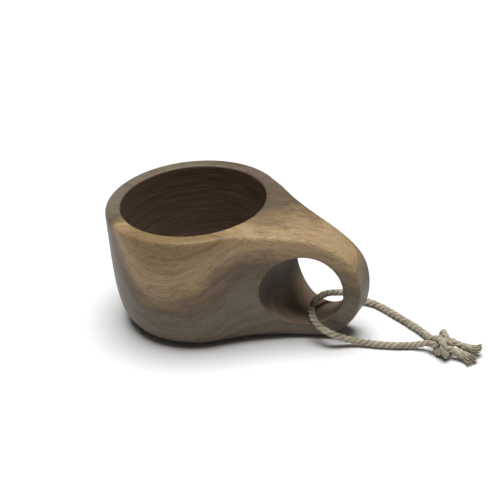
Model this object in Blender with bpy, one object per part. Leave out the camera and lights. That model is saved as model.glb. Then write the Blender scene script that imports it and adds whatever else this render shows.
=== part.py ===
"""Kuksa: a cup carved from one billet of wood, with a cord loop through its finger hole.

Metres, +Z up, the cup stands on z = 0. +X runs from the bowl to the handle's tip, and the cup is
mirrored in the XZ plane. The origin is under the middle of the cup's length.
"""
import math

import bmesh
import bpy
import numpy as np

# ---- Driving dimensions (metres) ------------------------------------------------------------
LENGTH = 0.1468                 # bowl's far side to the handle's tip
HEIGHT = 0.0683                 # table to rim
RIM_RADIUS = 0.0483             # outside of the bowl at the rim
BASE_RADIUS = 0.0360            # flat of the bowl's foot
MOUTH_RADIUS = 0.0400           # inside of the bowl at the rim
BOWL_DEPTH = 0.0555
BOWL_X = RIM_RADIUS - LENGTH / 2

WALL_FULLNESS = 5.2             # how straight the bowl's wall stays before it turns in to the foot
FOOT_ROUNDNESS = 2.07
BOWL_SQUARENESS = 2.6           # 2 is an ellipse, more is a flatter floor and straighter wall

FLANK_START = 0.030             # from the bowl's axis: where the round bowl runs into the flank
FLANK_END = 0.098
TIP_HALF_WIDTH = 0.0086
SPINE_MARGIN = 1.5 * TIP_HALF_WIDTH     # how far inside the tip the slices' rays begin
FLANK_SPREAD = 0.0219
FLANK_REFERENCE = 0.040
FLANK_POWER = 1.8
HANDLE_DRAFT_SHARE = 0.12       # how much of the bowl's inward lean the handle's flanks share
EDGE_ROUND = 0.003              # softened edge between the flanks and the top, tip and underside

# The side outline of the handle, from the rim over the tip to the foot: x from the bowl's axis, z.
SIDE_OUTLINE = [
    (0.0250, HEIGHT), (0.0380, HEIGHT), (0.0465, 0.0665), (0.0805, 0.0582), (0.0970, 0.0435),
    (0.0965, 0.0189), (0.0799, 0.0022), (0.0545, 0.0), (0.0350, 0.0),
]

HOLE_RADIUS = 0.0205
HOLE_X = BOWL_X + 0.0690
HOLE_Z = 0.0308

CORD_DIAMETER = 0.0038
SWING_AXIS = (BOWL_X + 0.0680, 0.0, 0.0150)      # the loop swings about the hole, along Y
KNOT_CENTRE = (0.1180, -0.0020, 0.0051)
KNOT_RADII = (0.0074, 0.0072, 0.0050)

# The cord's route, from the knot along the back strand, through the hole, and back to the knot.
LOOP_ROUTE = [
    (0.1102, 0.0036, 0.0030), (0.1030, 0.0092, 0.0021), (0.0955, 0.0138, 0.0020),
    (0.0885, 0.0177, 0.0020), (0.0812, 0.0217, 0.0020), (0.0738, 0.0256, 0.0020),
    (0.0667, 0.0286, 0.0020), (0.0598, 0.0293, 0.0028), (0.0545, 0.0262, 0.0064),
    (0.0520, 0.0205, 0.0112), (0.0492, 0.0150, 0.0142), (0.0456, 0.0100, 0.0156),
    (0.0434, 0.0050, 0.0156), (0.0427, 0.0000, 0.0152), (0.0438, -0.0052, 0.0146),
    (0.0466, -0.0104, 0.0138), (0.0512, -0.0150, 0.0124), (0.0567, -0.0166, 0.0102),
    (0.0618, -0.0155, 0.0076), (0.0664, -0.0130, 0.0050), (0.0712, -0.0108, 0.0031),
    (0.0766, -0.0095, 0.0022), (0.0845, -0.0082, 0.0020), (0.0922, -0.0064, 0.0020),
    (0.0995, -0.0041, 0.0020), (0.1052, -0.0026, 0.0023), (0.1100, -0.0019, 0.0032),
]
TAIL_A_ROUTE = [
    (0.1256, 0.0004, 0.0042), (0.1290, 0.0021, 0.0030), (0.1325, 0.0039, 0.0023),
    (0.1362, 0.0054, 0.0022),
]
TAIL_B_ROUTE = [
    (0.1258, -0.0052, 0.0042), (0.1292, -0.0066, 0.0030), (0.1326, -0.0080, 0.0023),
    (0.1356, -0.0092, 0.0022),
]

# ---- How finely the shapes are drawn ----------------------------------------------------------
RING_POINTS = 84                # points around each slice of the cup
SLICES = 24
BISECTIONS = 34
CURVE_STEPS = 24                # fine steps in each span of a smooth curve
OUTLINE_STEPS = 60
REACH_SAMPLES = 240
SKIN_INSET = 1e-5               # the first and last slices are read this share inside the form
BOWL_STEPS = 12
BOWL_SEGMENTS = 64
HOLE_SEGMENTS = 56
CUTTER_NECK = 0.005             # how far the bowl's cutter stands above the rim
MERGE_GAP = 0.00001
SHARP_ANGLE = math.radians(35)
LOOP_SPANS = 54
TAIL_SPANS = 4
CORD_ROUNDNESS = 2
KNOT_SEGMENTS, KNOT_RINGS = 20, 12

WOOD = (0.42, 0.31, 0.21, 1.0)
HEMP = (0.62, 0.55, 0.43, 1.0)


def smooth_curve(points, count):
    """Catmull-Rom curve through the points, read at count + 1 even steps of its own length."""
    p = np.array(points, dtype=float)
    p = np.vstack([2 * p[0] - p[1], p, 2 * p[-1] - p[-2]])
    t = np.linspace(0, 1, CURVE_STEPS, endpoint=False)[:, None]
    spans = []
    for a, b, c, d in zip(p[:-3], p[1:-2], p[2:-1], p[3:]):
        cubic = (-a + 3 * b - 3 * c + d) * t ** 3 + (2 * a - 5 * b + 4 * c - d) * t ** 2
        spans.append(0.5 * (2 * b + (c - a) * t + cubic))
    fine = np.vstack(spans + [p[-2:-1]])
    run = np.concatenate([[0], np.cumsum(np.linalg.norm(np.diff(fine, axis=0), axis=1))])
    even = np.linspace(0, run[-1], count + 1)
    return np.stack([np.interp(even, run, column) for column in fine.T], axis=1)


def distance_to_outline(x, z, outline):
    """Signed distance from points (x, z) to a closed polygon, negative inside."""
    start, end = outline, np.roll(outline, -1, axis=0)
    edge = end - start
    dx, dz = x[..., None] - start[:, 0], z[..., None] - start[:, 1]
    along = np.clip((dx * edge[:, 0] + dz * edge[:, 1]) / (edge ** 2).sum(axis=1), 0, 1)
    gap = np.hypot(dx - along * edge[:, 0], dz - along * edge[:, 1]).min(axis=-1)
    spans = (start[:, 1] > z[..., None]) != (end[:, 1] > z[..., None])
    rise = np.where(edge[:, 1] == 0, 1, edge[:, 1])
    crossing = spans & (x[..., None] < start[:, 0] + dz * edge[:, 0] / rise)
    return np.where(crossing.sum(axis=-1) % 2 == 1, -gap, gap)


def wall_inset(z):
    """How far the bowl's wall stands in from the rim's radius at height z."""
    depth = np.clip(1 - z / HEIGHT, 0, 1)
    fullness = (1 - depth ** WALL_FULLNESS) ** (1 / FOOT_ROUNDNESS)
    return (RIM_RADIUS - BASE_RADIUS) * (1 - fullness)


def plan_distance(x, y, z):
    """Distance outside the teardrop plan: a round bowl whose flanks draw in to the handle."""
    reach = np.clip(1 - (x - FLANK_REFERENCE) / (FLANK_END - FLANK_REFERENCE), 0, None)
    flank = TIP_HALF_WIDTH + FLANK_SPREAD * reach ** FLANK_POWER
    slope = FLANK_SPREAD * FLANK_POWER * reach ** (FLANK_POWER - 1) / (FLANK_END - FLANK_REFERENCE)
    join_y = math.sqrt(RIM_RADIUS ** 2 - FLANK_START ** 2)
    round_side = x * join_y < np.abs(y) * FLANK_START
    share = np.clip((x - FLANK_START) / (FLANK_END - FLANK_START), 0, 1)
    share = 1 - (1 - HANDLE_DRAFT_SHARE) * share * share * (3 - 2 * share)
    bare = np.where(round_side, np.hypot(x, y) - RIM_RADIUS,
                    (np.abs(y) - flank) / np.sqrt(1 + slope ** 2))
    return bare + wall_inset(z) * share


def cup_distance(x, y, z, side):
    """Distance outside the whole form: plan and side outline meet in a rounded edge."""
    plan = plan_distance(x, y, z) + EDGE_ROUND
    profile = distance_to_outline(x, z, side) + EDGE_ROUND
    outside = np.hypot(np.maximum(plan, 0), np.maximum(profile, 0))
    return np.minimum(np.maximum(plan, profile), 0) + outside - EDGE_ROUND


def side_polygon():
    """The side outline closed far to the left, where the bowl's own wall is the limit."""
    handle = smooth_curve([(x, 0, z) for x, z in SIDE_OUTLINE], OUTLINE_STEPS)[:, [0, 2]]
    return np.vstack([[(-2 * RIM_RADIUS, HEIGHT)], handle, [(-2 * RIM_RADIUS, 0)]])


def handle_reach(z, side):
    """How far from the bowl's axis the side outline goes at height z."""
    x = np.linspace(0, LENGTH, REACH_SAMPLES)
    inside = distance_to_outline(*np.meshgrid(x, z), side) < 0
    return (inside * x).max(axis=1)


def cup_skin():
    """Horizontal slices of the form, each point where a ray from the long axis leaves it."""
    side = side_polygon()
    level = 0.5 * (1 - np.cos(np.linspace(0, math.pi, SLICES + 1)))
    inward = HEIGHT * SKIN_INSET
    z = np.clip(HEIGHT * level, inward, HEIGHT - inward)
    angle = np.linspace(0, 2 * math.pi, RING_POINTS, endpoint=False)
    spine = np.maximum(handle_reach(z, side) - SPINE_MARGIN, 0)
    origin = spine[:, None] * ((1 + np.cos(angle)) / 2) ** 2
    height = np.repeat(z[:, None], RING_POINTS, axis=1)
    low, high = np.zeros_like(height), np.full_like(height, LENGTH)
    for _ in range(BISECTIONS):
        middle = (low + high) / 2
        x = origin + middle * np.cos(angle)
        outside = cup_distance(x, middle * np.sin(angle), height, side) > 0
        high = np.where(outside, middle, high)
        low = np.where(outside, low, middle)
    x = BOWL_X + origin + low * np.cos(angle)
    y = low * np.sin(angle)
    return np.stack([x, y, np.repeat(HEIGHT * level[:, None], RING_POINTS, axis=1)], axis=-1)


def new_object(name, data, material):
    thing = bpy.data.objects.new(name, data)
    bpy.context.collection.objects.link(thing)
    if material:
        data.materials.append(material)
    return thing


def new_material(name, color, roughness):
    material = bpy.data.materials.new(name)
    material.use_nodes = True
    shader = material.node_tree.nodes["Principled BSDF"]
    shader.inputs["Base Color"].default_value = color
    shader.inputs["Roughness"].default_value = roughness
    shader.inputs["Metallic"].default_value = 0.0
    return material


def make_cup(material):
    rings = cup_skin()
    mesh = bpy.data.meshes.new("cup_body")
    bm = bmesh.new()
    grid = [[bm.verts.new(point) for point in ring] for ring in rings]
    for lower, upper in zip(grid[:-1], grid[1:]):
        for i in range(RING_POINTS):
            j = (i + 1) % RING_POINTS
            bm.faces.new((lower[i], lower[j], upper[j], upper[i]))
    bm.faces.new(list(reversed(grid[0])))
    bm.faces.new(grid[-1])
    bm.to_mesh(mesh)
    bm.free()
    mesh.shade_smooth()
    mesh.set_sharp_from_angle(angle=SHARP_ANGLE)
    return new_object("cup_body", mesh, material)


def make_bowl_cutter():
    """The hollow of the bowl, turned about its axis: a quarter superellipse and a straight neck."""
    turn = np.linspace(0, math.pi / 2, BOWL_STEPS + 1)
    radius = MOUTH_RADIUS * np.cos(turn) ** (2 / BOWL_SQUARENESS)
    depth = BOWL_DEPTH * np.sin(turn) ** (2 / BOWL_SQUARENESS)
    radius[-1] = 0.0
    neck = HEIGHT + CUTTER_NECK
    profile = [(0.0, neck), (MOUTH_RADIUS, neck)] + list(zip(radius, HEIGHT - depth))
    mesh = bpy.data.meshes.new("bowl_cutter")
    points = [(r, 0.0, z) for r, z in profile]
    mesh.from_pydata(points, [(i, i + 1) for i in range(len(points) - 1)], [])
    cutter = new_object("bowl_cutter", mesh, None)
    cutter.location.x = BOWL_X
    screw = cutter.modifiers.new("turn", "SCREW")
    screw.steps = screw.render_steps = BOWL_SEGMENTS
    screw.use_merge_vertices = True
    screw.merge_threshold = MERGE_GAP
    return cutter


def make_hole_cutter():
    bm = bmesh.new()
    bmesh.ops.create_cone(bm, cap_ends=True, segments=HOLE_SEGMENTS, radius1=HOLE_RADIUS,
                          radius2=HOLE_RADIUS, depth=3 * RIM_RADIUS)
    mesh = bpy.data.meshes.new("hole_cutter")
    bm.to_mesh(mesh)
    bm.free()
    cutter = new_object("hole_cutter", mesh, None)
    cutter.location = (HOLE_X, 0.0, HOLE_Z)
    cutter.rotation_euler.x = math.pi / 2
    return cutter


def cut(body, cutter):
    cutter.hide_render = True
    cutter.display_type = "WIRE"
    boolean = body.modifiers.new(cutter.name, "BOOLEAN")
    boolean.operation = "DIFFERENCE"
    boolean.object = cutter


def make_tube(name, route, count, parent, material):
    """A round cord along the route, its points kept relative to the swing axis."""
    curve = bpy.data.curves.new(name, "CURVE")
    curve.dimensions = "3D"
    curve.bevel_depth = CORD_DIAMETER / 2
    curve.bevel_resolution = CORD_ROUNDNESS
    curve.use_fill_caps = True
    points = smooth_curve(route, count) - np.array(SWING_AXIS)
    spline = curve.splines.new("POLY")
    spline.points.add(len(points) - 1)
    for spot, point in zip(spline.points, points):
        spot.co = (*point, 1.0)
    tube = new_object(name, curve, material)
    tube.parent = parent
    return tube


def make_knot(parent, material):
    """The outer shape of the overhand knot, one rounded lump."""
    bm = bmesh.new()
    bmesh.ops.create_uvsphere(bm, u_segments=KNOT_SEGMENTS, v_segments=KNOT_RINGS,
                              radius=1.0)
    centre = np.array(KNOT_CENTRE) - np.array(SWING_AXIS)
    for vert in bm.verts:
        vert.co = [c + r * v for c, r, v in zip(centre, KNOT_RADII, vert.co)]
    mesh = bpy.data.meshes.new("cord_knot")
    bm.to_mesh(mesh)
    bm.free()
    mesh.shade_smooth()
    knot = new_object("cord_knot", mesh, material)
    knot.parent = parent
    return knot


def main():
    for thing in list(bpy.data.objects):
        bpy.data.objects.remove(thing, do_unlink=True)
    wood = new_material("wood", WOOD, 0.5)
    hemp = new_material("hemp", HEMP, 0.9)
    cup = make_cup(wood)
    cut(cup, make_bowl_cutter())
    cut(cup, make_hole_cutter())
    swing = new_object("swing_axis", None, None)
    swing.location = SWING_AXIS
    make_tube("cord_loop", LOOP_ROUTE, LOOP_SPANS, swing, hemp)
    make_knot(swing, hemp)
    make_tube("cord_tail_a", TAIL_A_ROUTE, TAIL_SPANS, swing, hemp)
    make_tube("cord_tail_b", TAIL_B_ROUTE, TAIL_SPANS, swing, hemp)


main()
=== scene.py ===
# %% [markdown]
# # A kuksa: a cup carved from one billet, with a cord through its finger hole
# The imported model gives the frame: the cup's size and place, the hinge that the cord swings on,
# and the plain solids that the finished pieces stand in for. Every size below is read from it or
# is a named measure in metres.

# %% Load the frame
import math

import bmesh
import bpy
import numpy as np
from mathutils import Matrix, Vector


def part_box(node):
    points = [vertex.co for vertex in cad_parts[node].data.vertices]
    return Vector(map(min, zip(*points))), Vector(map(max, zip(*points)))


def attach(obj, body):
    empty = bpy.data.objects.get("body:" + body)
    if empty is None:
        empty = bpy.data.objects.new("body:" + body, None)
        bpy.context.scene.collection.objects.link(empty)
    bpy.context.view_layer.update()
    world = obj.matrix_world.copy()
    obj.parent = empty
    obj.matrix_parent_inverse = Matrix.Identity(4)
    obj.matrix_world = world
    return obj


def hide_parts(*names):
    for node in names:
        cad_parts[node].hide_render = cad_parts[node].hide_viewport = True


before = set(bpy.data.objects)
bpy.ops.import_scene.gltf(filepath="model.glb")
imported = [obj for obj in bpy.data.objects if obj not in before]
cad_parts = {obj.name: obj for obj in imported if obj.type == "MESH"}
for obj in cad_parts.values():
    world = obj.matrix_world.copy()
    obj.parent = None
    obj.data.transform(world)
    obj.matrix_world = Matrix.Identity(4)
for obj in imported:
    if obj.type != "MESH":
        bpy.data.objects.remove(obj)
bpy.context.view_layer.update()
cup_low, cup_high = (np.array(corner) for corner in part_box("cup_body"))
print("cup, mm:", ((cup_high - cup_low) * 1000).round(1))

# %% [markdown]
# ## Camera
# The cup is seen from its front right and from above, with a long lens, so that the rim stays a
# clean ellipse. A camera could be aimed with a Track To constraint, but this one is also turned a
# little about its own line of sight, so its three directions are worked out and written into its
# matrix. Its distance and lens together fix how large the cup stands in the frame.

# %% Camera
VIEW_AZIMUTH, VIEW_ELEVATION, VIEW_ROLL = 28.15, 29.93, -5.4
VIEW_DISTANCE = 0.889
VIEW_LENS, SENSOR_WIDTH = 115.95, 36.0
NEAREST_SEEN = 0.01
AIM = (0.0012, 0.0107, 0.0351)


def place_camera(azimuth, elevation, roll, distance, aim, lens):
    """Looks at the aim point from a bearing and a height, both in degrees, turned by the roll."""
    a, e, r = np.radians([azimuth, elevation, roll])
    back = np.array([math.sin(a) * math.cos(e), -math.cos(a) * math.cos(e), math.sin(e)])
    level = np.array([math.cos(a), math.sin(a), 0.0])
    upright = np.cross(back, level)
    right = math.cos(r) * level + math.sin(r) * upright
    up = np.cross(back, right)
    camera = bpy.data.objects.new("camera", bpy.data.cameras.new("camera"))
    bpy.context.collection.objects.link(camera)
    camera.data.lens = lens
    camera.data.sensor_width = SENSOR_WIDTH
    camera.data.clip_start = NEAREST_SEEN
    matrix = np.eye(4)
    matrix[:3, :3] = np.stack([right, up, back], axis=1)
    matrix[:3, 3] = np.array(aim) + back * distance
    camera.matrix_world = Matrix(matrix.tolist())
    return camera


bpy.context.scene.camera = place_camera(VIEW_AZIMUTH, VIEW_ELEVATION, VIEW_ROLL, VIEW_DISTANCE,
                                        AIM, VIEW_LENS)
bpy.context.scene.view_settings.view_transform = "Standard"
print("camera at, m:", [round(v, 3) for v in bpy.context.scene.camera.matrix_world.translation])

# %% [markdown]
# ## Small helpers
# Every new piece is a numpy array of points, put into a mesh in one call. It then rides on one of the
# model's bodies, so that it moves with it. Materials are built from nodes, which could be placed and
# wired one line at a time. A few short functions let a pattern be written almost as a sum instead.

# %% Mesh and material helpers
def make_piece(name, points, faces, material, body):
    """A mesh piece from points and faces, riding on a body and taking the finish it is given."""
    mesh = bpy.data.meshes.new(name)
    mesh.from_pydata(np.asarray(points).tolist(), [], list(faces))
    mesh.shade_smooth()
    mesh.materials.append(material)
    piece = bpy.data.objects.new(name, mesh)
    bpy.context.collection.objects.link(piece)
    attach(piece, body)
    return piece


def node(tree, kind, **settings):
    """Adds a shader node. A setting that names an input sets or links it, others are attributes."""
    made = tree.nodes.new("ShaderNode" + kind)
    for key, value in settings.items():
        if not key.startswith("in_"):
            setattr(made, key, value)
    for key, value in settings.items():
        if key.startswith("in_"):
            name = key[3:]
            socket = made.inputs[int(name) if name.isdigit() else name.replace("_", " ")]
            if isinstance(value, bpy.types.NodeSocket):
                tree.links.new(value, socket)
            else:
                socket.default_value = value
    return made


def maths(tree, operation, a, b=0.0, c=0.0):
    return node(tree, "Math", operation=operation, in_0=a, in_1=b, in_2=c).outputs[0]


def hypotenuse(tree, a, b):
    """The root of a squared plus b squared."""
    return maths(tree, "SQRT", maths(tree, "ADD", maths(tree, "MULTIPLY", a, a),
                                     maths(tree, "MULTIPLY", b, b)))


def mix_colour(tree, amount, a, b):
    return node(tree, "Mix", data_type="RGBA", in_0=amount, in_6=a, in_7=b).outputs[2]


def tint(tree, amount, colour, factor):
    """The colour multiplied by a factor colour, as far as the amount says."""
    return node(tree, "Mix", data_type="RGBA", blend_type="MULTIPLY", in_0=amount, in_6=colour,
                in_7=factor).outputs[2]


def noise(tree, place, scale, detail, roughness=0.5, distortion=0.0, output="Fac"):
    return node(tree, "TexNoise", in_Vector=place, in_Scale=scale, in_Detail=detail,
                in_Roughness=roughness, in_Distortion=distortion).outputs[output]


def stretched(tree, place, scale):
    """The place with each axis multiplied, so that a pattern on it is drawn out along the small ones."""
    return node(tree, "Mapping", in_Vector=place, in_Scale=scale).outputs[0]


def smooth_step(tree, value, low, high):
    """0 below low, 1 above high, with an eased rise between."""
    return node(tree, "MapRange", interpolation_type="SMOOTHSTEP", in_0=value, in_1=low,
                in_2=high).outputs[0]


def new_material(name, roughness, specular):
    material = bpy.data.materials.new(name)
    material.use_nodes = True
    shader = material.node_tree.nodes["Principled BSDF"]
    shader.inputs["Roughness"].default_value = roughness
    shader.inputs["Specular IOR Level"].default_value = specular
    return material, material.node_tree, shader


# %% [markdown]
# ## Floor and lamp
# The cup stands on white paper under one large soft lamp. The lamp could be an area lamp, but its
# light fades a metre or two away and the paper goes dark there. A sun lamp with a wide angle gives
# as soft a shadow and lights the paper evenly as far as it goes. The sky is a pale band near the
# horizon that fades upward, and it lightens the walls that the lamp overhead does not reach.

# %% Floor
FLOOR_HALF = 6.0
FLOOR_DROP = 0.0002
PAPER_WHITE = (0.80, 0.80, 0.80, 1)
PAPER_ROUGHNESS, PAPER_SPECULAR = 0.9, 0.1

floor_material, _, floor_shader = new_material("floor_paper", PAPER_ROUGHNESS, PAPER_SPECULAR)
floor_shader.inputs["Base Color"].default_value = PAPER_WHITE
floor_mesh = bpy.data.meshes.new("floor")
floor_mesh.from_pydata([(-FLOOR_HALF, -FLOOR_HALF, 0), (FLOOR_HALF, -FLOOR_HALF, 0),
                        (FLOOR_HALF, FLOOR_HALF, 0), (-FLOOR_HALF, FLOOR_HALF, 0)], [],
                       [(0, 1, 2, 3)])
floor_mesh.materials.append(floor_material)
floor = bpy.data.objects.new("floor", floor_mesh)
bpy.context.collection.objects.link(floor)
floor.location.z = -FLOOR_DROP
print("floor, m:", 2 * FLOOR_HALF, "square")

# %% Lamp and sky
LAMP_ANGLE, LAMP_STRENGTH = 45.0, 4.35
LAMP_FROM = (0.02, 0.10, 1.15)
SKY_EDGE, SKY_ABOVE = 0.50, 0.03
SKY_BAND, SKY_FALL = 0.40, 3.0

lamp = bpy.data.objects.new("overhead_lamp", bpy.data.lights.new("overhead_lamp", "SUN"))
bpy.context.collection.objects.link(lamp)
lamp.data.angle = math.radians(LAMP_ANGLE)
lamp.data.energy = LAMP_STRENGTH
lamp.rotation_euler = (-Vector(LAMP_FROM)).to_track_quat("-Z", "Y").to_euler()

world = bpy.data.worlds.new("studio")
bpy.context.scene.world = world
world.use_nodes = True
sky = world.node_tree
sky_shader = sky.nodes["Background"]
sky_shader.inputs["Color"].default_value = (1, 1, 1, 1)
sky_height = node(sky, "SeparateXYZ", in_0=node(sky, "TexCoord").outputs["Generated"]).outputs[2]
sky_fade = node(sky, "MapRange", in_0=sky_height, in_1=0.0, in_2=SKY_BAND, in_3=1.0,
                in_4=0.0).outputs[0]
sky_fade = maths(sky, "POWER", sky_fade, SKY_FALL)
sky.links.new(maths(sky, "MULTIPLY_ADD", sky_fade, SKY_EDGE - SKY_ABOVE, SKY_ABOVE),
              sky_shader.inputs["Strength"])
print("lamp angle, degrees:", LAMP_ANGLE, "sky from", SKY_EDGE, "to", SKY_ABOVE)

# %% [markdown]
# ## The cord's route
# The cord is a length of three-strand hemp about 3.8 mm thick. It goes through the finger hole
# as a loop, and its two ends are tied together in one overhand knot, whose tails are cut short and
# have begun to unravel. The loop's route is a list of places where the cord lies: flat on the table
# from the knot, up over the ring of wood in the hole, and back down to the knot. A cord could be
# hung by a simulation, but this one only lies on a table, so a smooth curve through listed places
# is closer to how it lies and comes out the same each time.

# %% Route of the loop and the tails
CORD_RADIUS = 0.0019
LOOP_ROUTE = [
    (0.1102, 0.0036, 0.0030), (0.1030, 0.0092, 0.0021), (0.0955, 0.0138, 0.0020),
    (0.0885, 0.0177, 0.0020), (0.0812, 0.0217, 0.0020), (0.0738, 0.0256, 0.0020),
    (0.0667, 0.0286, 0.0020), (0.0598, 0.0293, 0.0028), (0.0545, 0.0262, 0.0064),
    (0.0520, 0.0205, 0.0112), (0.0492, 0.0150, 0.0142), (0.0456, 0.0100, 0.0156),
    (0.0434, 0.0050, 0.0156), (0.0427, 0.0000, 0.0152), (0.0438, -0.0052, 0.0146),
    (0.0466, -0.0104, 0.0138), (0.0512, -0.0150, 0.0124), (0.0567, -0.0166, 0.0102),
    (0.0618, -0.0155, 0.0076), (0.0664, -0.0130, 0.0050), (0.0712, -0.0108, 0.0031),
    (0.0766, -0.0095, 0.0022), (0.0845, -0.0082, 0.0020), (0.0922, -0.0064, 0.0020),
    (0.0995, -0.0041, 0.0020), (0.1052, -0.0026, 0.0023), (0.1100, -0.0019, 0.0032),
]
KNOT_ENTRIES = np.array([LOOP_ROUTE[1], LOOP_ROUTE[-3]])
KNOT_EXITS = np.array([(0.1292, 0.0014, 0.0032), (0.1288, -0.0050, 0.0028)])
KNOT_MIDDLE = np.array([0.1184, -0.0022, 0.0050])
TAIL_TIPS = [
    [(0.1320, 0.0014, 0.0031), (0.1343, 0.0011, 0.0031), (0.1366, 0.0009, 0.0033)],
    [(0.1313, -0.0058, 0.0025), (0.1335, -0.0067, 0.0024), (0.1354, -0.0078, 0.0024)],
]


def smooth_curve(points, count, fine_steps=24):
    """Catmull-Rom curve through the points, read at count + 1 even steps of its own length."""
    p = np.array(points, dtype=float)
    p = np.vstack([2 * p[0] - p[1], p, 2 * p[-1] - p[-2]])
    t = np.linspace(0, 1, fine_steps, endpoint=False)[:, None]
    a, b, c, d = (p[i:len(p) - 3 + i, None, :] for i in range(4))
    cubic = (-a + 3 * b - 3 * c + d) * t ** 3 + (2 * a - 5 * b + 4 * c - d) * t ** 2
    fine = (0.5 * (2 * b + (c - a) * t + cubic)).reshape(-1, p.shape[1])
    fine = np.vstack([fine, p[-2:-1]])
    return even_steps(fine, count + 1)


def even_steps(line, count):
    """The same line read again at a number of even steps of its length."""
    run = np.concatenate([[0], np.cumsum(np.linalg.norm(np.diff(line, axis=0), axis=1))])
    even = np.linspace(0, run[-1], count)
    return np.stack([np.interp(even, run, column) for column in line.T], axis=1)


print("route points:", len(LOOP_ROUTE), "cord, mm:", 2000 * CORD_RADIUS)

# %% [markdown]
# ## Tying the knot
# An overhand knot in two cords at once is hard to place point by point, but easy to tie: the pair
# starts as a wide loose overhand, whose line is a known curve of powers of one parameter,
# and is then pulled tight. Each pass straightens the cords a little, keeps the two side by side, and
# pushes apart every two places that are closer than a cord's thickness. A simulation could do it
# too, and was not tried. What is left is a true overhand knot, with its cords pressed together.

# %% Tie and tighten the knot
KNOT_POINTS = 90
KNOT_PASSES = 170
KNOT_TURN = 120
KNOT_LOOSENESS = 0.0055
KNOT_REACH, KNOT_RISE, KNOT_DEPTH = 2.2, 1.5, 0.21
LOOSE_STEPS = 400
PAIR_OFFSET = 0.55
CORD_GAP = 0.0037
PULL = 3.0
LONGEST_STEP = 0.0007
PUSHES = 5
HOLD = 0.05
PAIRING = 0.35
PAIR_RISE, PAIR_MARGIN = 1.6, 0.25
NEIGHBOUR_REACH = 1.6
FLOOR_HEAD_START, FLOOR_RISE_SHARE = 0.03, 0.4
SMALLEST = 1e-9


def loose_knot():
    """Two cords side by side in a wide overhand knot: x, y, z are t cubed less 3t, t to the fourth
    less 4t squared and t to the fifth less 10t, turned about X, and each cord stands a little over
    half a thickness to its own side."""
    t = np.linspace(-KNOT_REACH, KNOT_REACH, LOOSE_STEPS)
    middle = np.stack([t ** 3 - 3 * t, t ** 4 - 4 * t ** 2 + KNOT_RISE,
                       -KNOT_DEPTH * (t ** 5 - 10 * t)], axis=1)
    middle = middle * KNOT_LOOSENESS
    side = travel_frames(middle, (0, 0, 1))[0]
    c, s = math.cos(math.radians(KNOT_TURN)), math.sin(math.radians(KNOT_TURN))
    turn = np.array([[1, 0, 0], [0, c, -s], [0, s, c]])
    pair = [(middle + sign * PAIR_OFFSET * CORD_GAP * side) @ turn.T + KNOT_MIDDLE
            for sign in (1, -1)]
    if np.linalg.norm(pair[0][0] - KNOT_ENTRIES[0]) > np.linalg.norm(pair[1][0] - KNOT_ENTRIES[0]):
        pair.reverse()
    return np.array([even_steps(np.vstack([KNOT_ENTRIES[k], pair[k], KNOT_EXITS[k]]), KNOT_POINTS)
                     for k in (0, 1)])


def travel_frames(line, start):
    """Two directions across the line at each of its points, carried along it without turning."""
    along = np.gradient(line, axis=0)
    along /= np.linalg.norm(along, axis=1)[:, None]
    side = np.empty_like(line)
    last = np.array(start, dtype=float)
    for i, ahead in enumerate(along):
        last = last - last.dot(ahead) * ahead
        last /= np.linalg.norm(last)
        side[i] = last
    return side, np.cross(along, side)


def pull_tight(cords):
    """Straightens the cords, draws the pair together and pushes touching places apart, pass by
    pass. The floor rises from below while the knot shrinks, so it ends up lying on the table."""
    count = KNOT_POINTS
    bend = 2 * np.eye(count) - np.eye(count, k=1) - np.eye(count, k=-1)
    bend[[0, -1]] = 0
    straighten = np.linalg.inv(np.eye(count) + PULL * bend)
    index = np.arange(2 * count)
    same_cord = index[:, None] // count == index[None] // count
    steps_apart = np.abs(index[:, None] - index[None])
    hump = np.sin(math.pi * np.arange(count) / (count - 1))
    middle_share = hump ** 0.5
    pair_share = np.clip(PAIR_RISE * hump - PAIR_MARGIN, 0, 1)[:, None]
    for turn in range(KNOT_PASSES):
        move = np.einsum("ij,kjc->kic", straighten, cords) - cords
        size = np.linalg.norm(move, axis=2, keepdims=True)
        cords = cords + move * np.minimum(1, LONGEST_STEP / np.maximum(size, SMALLEST))
        cords = np.array([even_steps(cord, count) for cord in cords])
        apart = cords[1] - cords[0]
        width = np.linalg.norm(apart, axis=1, keepdims=True)
        draw = 0.5 * PAIRING * pair_share * np.clip(width - CORD_GAP, 0, LONGEST_STEP / PAIRING)
        cords = cords + np.stack([draw, -draw]) * apart / np.maximum(width, SMALLEST)
        step = np.linalg.norm(np.diff(cords, axis=1), axis=2).mean()
        neighbour = same_cord & (steps_apart < math.ceil(NEIGHBOUR_REACH * CORD_GAP / step))
        flat = cords.reshape(-1, 3)
        risen = min(1, turn / (FLOOR_RISE_SHARE * KNOT_PASSES))
        floor_level = CORD_RADIUS - FLOOR_HEAD_START * (1 - risen)
        for _ in range(PUSHES):
            between = flat[:, None] - flat[None]
            gap = np.sqrt((between ** 2).sum(axis=2))
            gap[neighbour] = 1
            overlap = np.clip(CORD_GAP - gap, 0, None)
            touching = np.maximum(1, 0.5 * (overlap > 0).sum(axis=1))[:, None]
            away = between / np.maximum(gap, SMALLEST)[..., None] * (0.5 * overlap)[..., None]
            flat = flat + away.sum(axis=1) / touching
            flat[:, 2] = np.maximum(flat[:, 2], floor_level)
            cords = flat.reshape(2, count, 3)
            drift = KNOT_MIDDLE - cords[:, count // 3:-count // 3].mean(axis=(0, 1))
            cords = cords + HOLD * middle_share[None, :, None] * drift * [1, 1, 0]
            cords[:, 0], cords[:, -1] = KNOT_ENTRIES, KNOT_EXITS
            flat = cords.reshape(-1, 3)
    return cords


knot_cords = pull_tight(loose_knot())
knot_lengths = np.linalg.norm(np.diff(knot_cords, axis=1), axis=2).sum(axis=1)
print("cord in the knot, mm:", (knot_lengths * 1000).round(1))

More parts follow.
